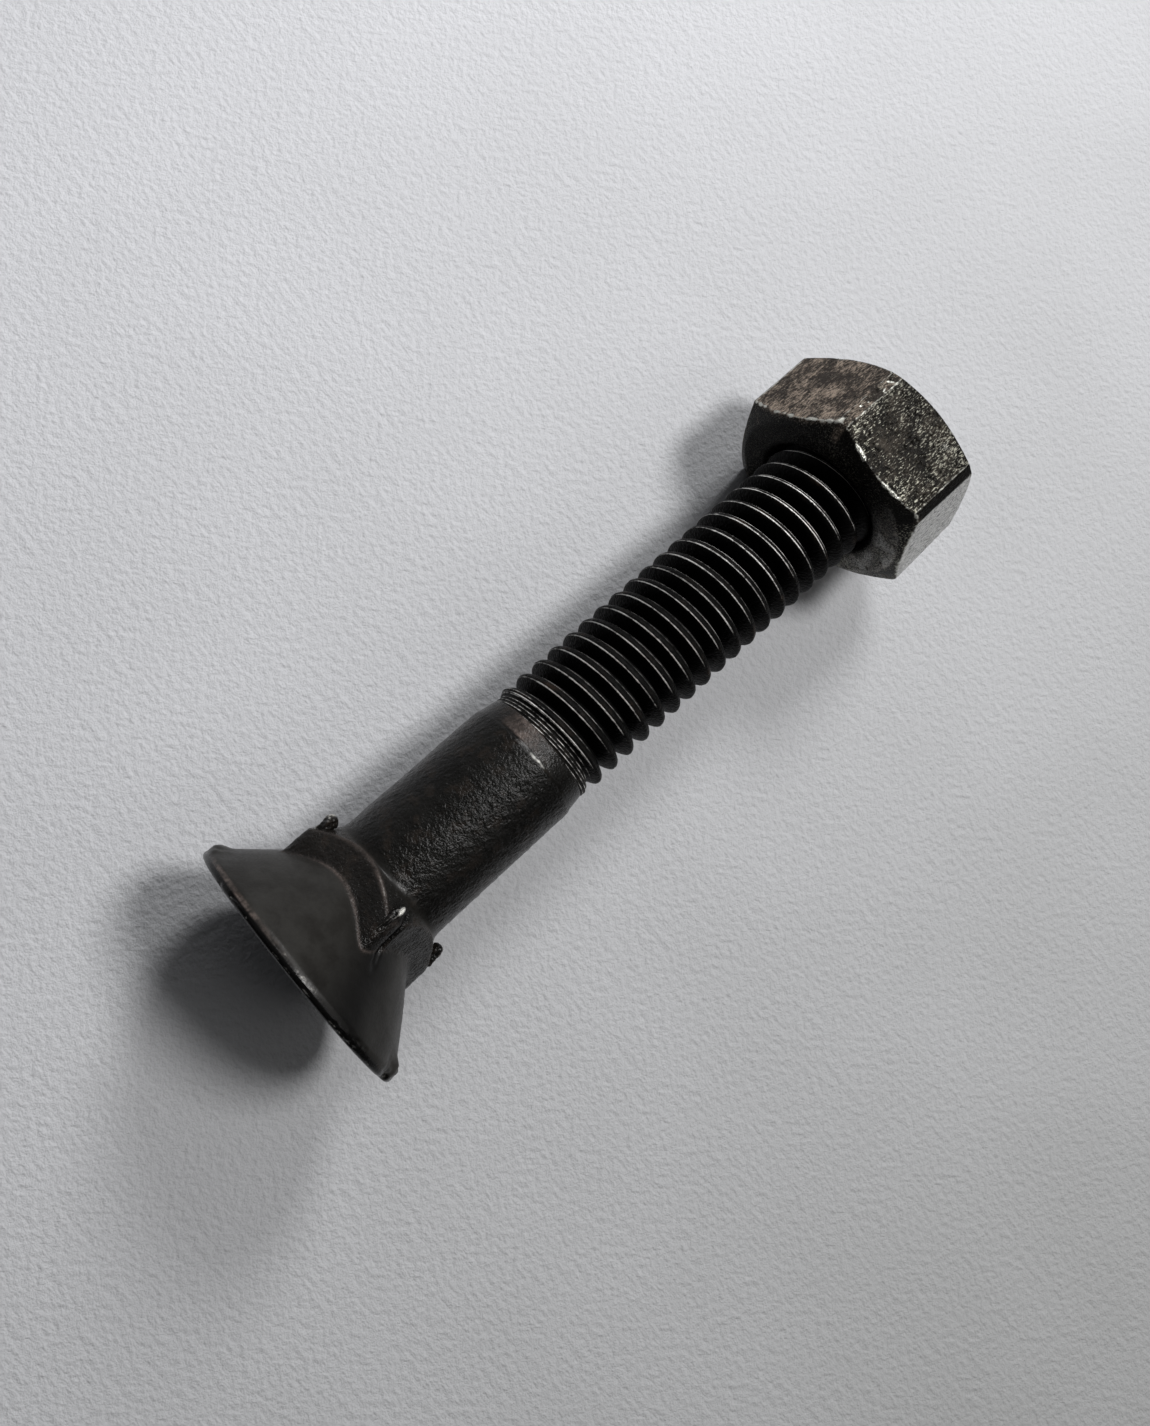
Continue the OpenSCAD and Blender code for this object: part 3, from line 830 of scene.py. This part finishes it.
# The forging's scale, and how the thread's differs, with sizes and heights in millimetres. Roughness
# goes from low to high over the pebbles, and polish and bare steel add theirs to it
forgedLook = {
    "black": (0.0040, 0.0038, 0.0034), "grey": (0.0085, 0.0082, 0.0074),
    "brown": (0.019, 0.0145, 0.0115), "pink": (0.140, 0.112, 0.100),
    "satin": (0.0215, 0.0205, 0.0185), "satinDark": (0.0115, 0.0105, 0.0090),
    "sootAndShade": (0.0018, 0.0018, 0.0018), "bareSteelAndHighlight": (0.42, 0.415, 0.39),
    "cloudSize": 5.0, "grainSize": 0.14, "pebbleSize": 0.23, "flakeSize": 1.7, "fleckSize": 0.28,
    "satinSize": 3.2, "pebbleHeight": 0.09, "grainHeight": 0.003,
    "specular": 0.15, "metalShare": 0.6,
    "roughLow": 0.20, "roughHigh": 0.28, "satinRough": 0.16, "bareRough": 0.28,
}
threadLook = {
    **forgedLook,
    "black": (0.0030, 0.0030, 0.0028), "grey": (0.0062, 0.0060, 0.0055),
    "brown": (0.018, 0.0140, 0.0110), "pink": (0.085, 0.055, 0.038),
    "satin": (0.008, 0.008, 0.0075), "satinDark": (0.006, 0.006, 0.0055),
    "bareSteelAndHighlight": (0.86, 0.85, 0.82),
    "pebbleSize": 0.30, "pebbleHeight": 0.15, "grainHeight": 0.008,
    "specular": 0.04, "metalShare": 0.25,
    "roughLow": 0.38, "roughHigh": 0.50, "satinRough": 0.07, "bareRough": 0.04,
}


def makeForged(name, d):
    # Black forging scale: pebbled relief, brown flakes, pink bloom where it rusts, soot and painted shade
    # in the fold, the thread's roots, the rim's land and one side of cone and shank, satin grey where it
    # was pressed smooth, and bare steel where the wear value is high, which on the step, the rim and the
    # lips is a painted highlight
    material, tree, place = makeMaterial(name)
    wearAndHighlight, pebble, rust, polish, sootAndShade = attributesOf(tree, "wearAndHighlight", "pebble", "rust", "polish", "sootAndShade")
    cloud = noiseAt(tree, place, d["cloudSize"], 4.0, 0.6)
    grain = noiseAt(tree, place, d["grainSize"], 2.0, 0.6)
    stones = noiseAt(tree, place, d["pebbleSize"], 2.0, 0.55)
    flakes = noiseAt(tree, place, d["flakeSize"], 4.0, 0.65)
    fleck = noiseAt(tree, place, d["fleckSize"], 3.0, 0.7)
    patches = noiseAt(tree, place, d["satinSize"], 5.0, 0.62)
    base = mixColour(tree, rangeOf(tree, cloud, 0.35, 0.65), d["black"], d["grey"])
    base = mixColour(tree, rangeOf(tree, flakes, 0.52, 0.66, 0.0, 0.6), base, d["brown"])
    satin = mixColour(tree, rangeOf(tree, patches, 0.36, 0.64), d["satin"], d["satinDark"])
    base = mixColour(tree, polish, base, satin)
    bloom = calc(tree, "MULTIPLY", rust, rangeOf(tree, fleck, 0.30, 0.62, 0.35, 1.0), clamp=True)
    base = mixColour(tree, bloom, base, d["pink"])
    # Soot and painted shade: black in the fold, the thread's roots, the rim's land and one side of cone
    # and shank
    base = mixColour(tree, calc(tree, "MULTIPLY", sootAndShade, 0.9, clamp=True), base, d["sootAndShade"])
    # Bare steel, and a painted highlight where the step, the rim's edge and the thread's lips catch the
    # light
    bareAndHighlight = rangeOf(tree, blend(tree, (wearAndHighlight, 1.0), (fleck, 0.6)), 0.50, 1.05)
    colour = mixColour(tree, bareAndHighlight, base, d["bareSteelAndHighlight"])
    rough = rangeOf(tree, stones, 0.35, 0.65, d["roughLow"], d["roughHigh"])
    rough = blend(tree, (rough, 1.0), (polish, d["satinRough"]), (bareAndHighlight, d["bareRough"]))
    pebbled = bumpOf(tree, calc(tree, "MULTIPLY", stones, pebble), d["pebbleHeight"])
    normal = bumpOf(tree, grain, d["grainHeight"], pebbled)
    metallic = calc(tree, "MULTIPLY", bareAndHighlight, d["metalShare"])
    finishMaterial(tree, colour, metallic, rough, normal, d["specular"])
    return material


# The nut's steel, in millimetres; its noise is drawn out along the axis by the stretches
nutLook = {
    "sootAndShade": (0.0040, 0.0036, 0.0031), "dark": (0.0035, 0.0032, 0.0026),
    "grey": (0.0130, 0.0120, 0.0092), "umber": (0.030, 0.024, 0.020),
    "brown": (0.340, 0.275, 0.220), "silver": (0.60, 0.59, 0.49), "pit": (0.004, 0.004, 0.003),
    "bareSteelAndHighlight": (0.56, 0.56, 0.51), "mirror": (0.72, 0.72, 0.70),
    "streakSize": 0.30, "streakStretch": (0.42, 1.4, 1.4),
    "speckleSize": 0.17, "speckleStretch": (0.42, 1.1, 1.1),
    "cloudSize": 2.6, "blotSize": 4.5, "pitSize": 0.45, "relief": 0.12,
    "specular": 0.055, "roughLow": 0.22, "roughHigh": 0.34,
}


def makeNutSteel(name, d):
    # Worn nut steel: brown bloom in patches, dark pits and pale flecks (partly painted glints) drawn out
    # along the flats, a face rubbed bright, painted light on the lower bearing face, black scale on the
    # faces that nothing rubs, and painted shadow on one bevel
    material, tree, place = makeMaterial(name)
    wearAndHighlight, flat, brown, speck, bright = attributesOf(tree, "wearAndHighlight", "flat", "brown", "speck", "bright")
    streak = noiseAt(tree, place, d["streakSize"], 4.0, 0.7, d["streakStretch"])
    speckle = noiseAt(tree, place, d["speckleSize"], 2.5, 0.7, d["speckleStretch"])
    cloud = noiseAt(tree, place, d["cloudSize"], 5.0, 0.7)
    blot = noiseAt(tree, place, d["blotSize"], 3.0, 0.6)
    pits = rangeOf(tree, noiseAt(tree, place, d["pitSize"], 3.0, 0.6), 0.30, 0.42, 1.0, 0.0)
    base = mixColour(tree, rangeOf(tree, cloud, 0.35, 0.68), d["dark"], d["grey"])
    # Black scale off the flats, and painted shadow on one bevel
    base = mixColour(tree, calc(tree, "SUBTRACT", 1.0, flat, clamp=True), base, d["sootAndShade"])
    base = mixColour(tree, brown, base, d["umber"])
    mottle = blend(tree, (cloud, 0.42), (streak, 0.30), (speckle, 0.28))
    bloom = calc(tree, "MULTIPLY", brown, rangeOf(tree, mottle, 0.47, 0.60), clamp=True)
    base = mixColour(tree, bloom, base, d["brown"])
    # Pale flecks, partly painted glints and painted reflection
    grains = rangeOf(tree, blend(tree, (speckle, 1.0), (blot, 0.30)), 0.69, 0.81)
    fleck = calc(tree, "MULTIPLY", speck, grains, clamp=True)
    base = mixColour(tree, calc(tree, "MULTIPLY", fleck, 0.85), base, d["silver"])
    base = mixColour(tree, calc(tree, "MULTIPLY", pits, 0.85), base, d["pit"])
    grazes = rangeOf(tree, blend(tree, (streak, 0.5), (speckle, 0.5)), 0.40, 0.54, 0.12, 1.0)
    # Rubbed bright on one face; on the lower bearing face this is painted light
    rubbedAndPaintedLight = calc(tree, "MULTIPLY", bright, grazes)
    base = mixColour(tree, rubbedAndPaintedLight, base, d["mirror"])
    bareAndHighlight = rangeOf(tree, blend(tree, (wearAndHighlight, 1.0), (speckle, 0.6)), 0.55, 1.05)
    colour = mixColour(tree, bareAndHighlight, base, d["bareSteelAndHighlight"])
    shiny = calc(tree, "MAXIMUM", calc(tree, "MULTIPLY", bareAndHighlight, 0.95), calc(tree, "MULTIPLY", fleck, 0.40))
    shiny = calc(tree, "MAXIMUM", shiny, rubbedAndPaintedLight)
    rough = rangeOf(tree, speckle, 0.3, 0.7, d["roughLow"], d["roughHigh"])
    rough = blend(tree, (rough, 1.0), (fleck, 0.25), (brown, 0.15))
    height = blend(tree, (streak, 0.5), (speckle, 0.6), (pits, -0.8))
    unrubbed = calc(tree, "SUBTRACT", 1.0, calc(tree, "MULTIPLY", bright, 0.2))
    height = calc(tree, "MULTIPLY", height, unrubbed)
    finishMaterial(tree, colour, shiny, rough, bumpOf(tree, height, d["relief"]), d["specular"])
    return material


forgedBlack = makeForged("forgedBlack", forgedLook)
threadBlack = makeForged("threadBlack", threadLook)
nutSteel = makeNutSteel("nutSteel", nutLook)
print("materials made")

bolt = addPiece("boltForging", [forgingShell(forging)], forgedBlack, "bolt")
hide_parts("plow_bolt")
fins = [flashShell(flash, number) for number in range(len(flash["fins"]))]
nubs = addPiece("boltFlash", fins, forgedBlack, "bolt")
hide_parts("plow_bolt")
rolled = [threadShell(thread), tipShell(thread)]
threads = addPiece("boltThread", rolled, threadBlack, "bolt")
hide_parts("plow_bolt")
nutBody = addPiece("nutBody", [nutShell(nut), nutThreadShell(nutThread)], nutSteel, "nut")
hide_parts("hex_nut")
print("bolt and nut made")

# The paper: pale, with painted shade that dims its colour across the bolt on the side away from the
# windows
stage = {
    "size": 3.0, "pale": (0.658, 0.666, 0.694), "dim": (0.344, 0.348, 0.348),
    "dimUntil": -0.105, "paleFrom": 0.072, "cloudSize": 30.0, "cloudReach": 0.008,
    "fibreSize": 0.8, "fibreHeight": 0.27, "roughness": 0.85, "specular": 0.2,
}


def addFloor(d):
    # A flat square of plain pale paper under the bolt
    half = d["size"] / 2
    corners = [(-half, -half, 0), (half, -half, 0), (half, half, 0), (-half, half, 0)]
    mesh = bpy.data.meshes.new("paperFloor")
    mesh.from_pydata(corners, [], [(0, 1, 2, 3)])
    material, tree, place = makeMaterial("palePaper")
    fibres = noiseAt(tree, place, d["fibreSize"], 3.0, 0.6)
    across = makeNode(tree, "ShaderNodeSeparateXYZ", {"Vector": place}).outputs["Y"]
    cloud = noiseAt(tree, place, d["cloudSize"], 3.0, 0.5)
    cloud = rangeOf(tree, cloud, 0.3, 0.7, -d["cloudReach"], d["cloudReach"])
    # Painted shade: the paper's colour dims across y, away from the windows
    fade = makeNode(tree, "ShaderNodeMapRange", {
        "Value": calc(tree, "ADD", across, cloud), "From Min": d["dimUntil"], "From Max": d["paleFrom"]})
    tone = mixColour(tree, fade.outputs["Result"], d["dim"], d["pale"])
    normal = bumpOf(tree, fibres, d["fibreHeight"])
    finishMaterial(tree, tone, 0.0, d["roughness"], normal, d["specular"])
    mesh.materials.append(material)
    floor = bpy.data.objects.new("paperFloor", mesh)
    bpy.context.scene.collection.objects.link(floor)


# Soft round lamps: where each stands round the bolt in degrees, how far off, how wide, how strong
lights = [
    {"name": "highWindow", "azimuth": -8, "elevation": 64, "distance": 0.50, "size": 0.125,
     "power": 1.61, "colour": (1.0, 0.99, 0.985)},
    {"name": "lowWindow", "azimuth": 31, "elevation": 40, "distance": 0.50, "size": 0.125,
     "power": 1.16, "colour": (1.0, 1.0, 1.0)},
    {"name": "farWall", "azimuth": -62, "elevation": 50, "distance": 0.50, "size": 0.24,
     "power": 0.20, "colour": (1.0, 0.98, 0.96)},
]


def addLamp(d):
    # A disk lamp that looks at the middle of the scene
    lamp = bpy.data.lights.new(d["name"], "AREA")
    lamp.shape, lamp.size, lamp.energy, lamp.color = "DISK", d["size"], d["power"], d["colour"]
    lampObject = bpy.data.objects.new(d["name"], lamp)
    turn, lift = math.radians(d["azimuth"]), math.radians(d["elevation"])
    way = Vector((math.cos(turn) * math.cos(lift), math.sin(turn) * math.cos(lift), math.sin(lift)))
    lampObject.location = way * d["distance"]
    lampObject.rotation_euler = (-way).to_track_quat("-Z", "Y").to_euler()
    bpy.context.scene.collection.objects.link(lampObject)


# The room: dim all round and overhead, paler low down on the side of the windows
room = {
    "way": (0.62, 0.75, 0.22), "colour": (0.96, 0.97, 1.0), "dim": 0.018, "pale": 0.30,
    "paleBegins": 0.2, "paleFull": 1.0,
}


def addRoom(d):
    world = bpy.data.worlds.new("softRoom")
    world.use_nodes = True
    tree = world.node_tree
    tree.nodes.clear()
    looking = makeNode(tree, "ShaderNodeTexCoord").outputs["Generated"]
    towards = makeNode(tree, "ShaderNodeVectorMath", {0: looking, 1: d["way"]}, operation="DOT_PRODUCT")
    glow = rangeOf(tree, towards.outputs["Value"], d["paleBegins"], d["paleFull"], d["dim"], d["pale"])
    background = makeNode(tree, "ShaderNodeBackground", {"Color": (*d["colour"], 1), "Strength": glow})
    output = makeNode(tree, "ShaderNodeOutputWorld")
    tree.links.new(background.outputs["Background"], output.inputs["Surface"])
    bpy.context.scene.world = world


# The camera: its place and its right and up axes in the row's frame
camera = {
    "place": (-0.030921, 0.023321, 0.122032),
    "right": (0.75545, -0.62831, 0.18581),
    "up": (0.62272, 0.77671, 0.09458),
    "focalPixels": 1174.3, "framePixels": 1426.0, "filmHeight": 24.0, "shift": (0.0961, -0.0913),
    "clipStart": 0.005,
}


def addCamera(d):
    data = bpy.data.cameras.new("camera")
    data.sensor_fit = "VERTICAL"
    data.sensor_height = d["filmHeight"]
    data.lens = d["filmHeight"] * d["focalPixels"] / d["framePixels"]
    data.shift_x, data.shift_y = d["shift"]
    data.clip_start = d["clipStart"]
    cameraObject = bpy.data.objects.new("camera", data)
    right, up = Vector(d["right"]).normalized(), Vector(d["up"]).normalized()
    back = right.cross(up).normalized()
    turned = Matrix((right, back.cross(right), back)).transposed().to_4x4()
    cameraObject.matrix_world = Matrix.Translation(d["place"]) @ turned
    bpy.context.scene.collection.objects.link(cameraObject)
    bpy.context.scene.camera = cameraObject


addFloor(stage)
for lamp in lights:
    addLamp(lamp)
addRoom(room)
addCamera(camera)
bpy.context.scene.view_settings.view_transform = "Standard"
print("floor, lamps, room and camera made")
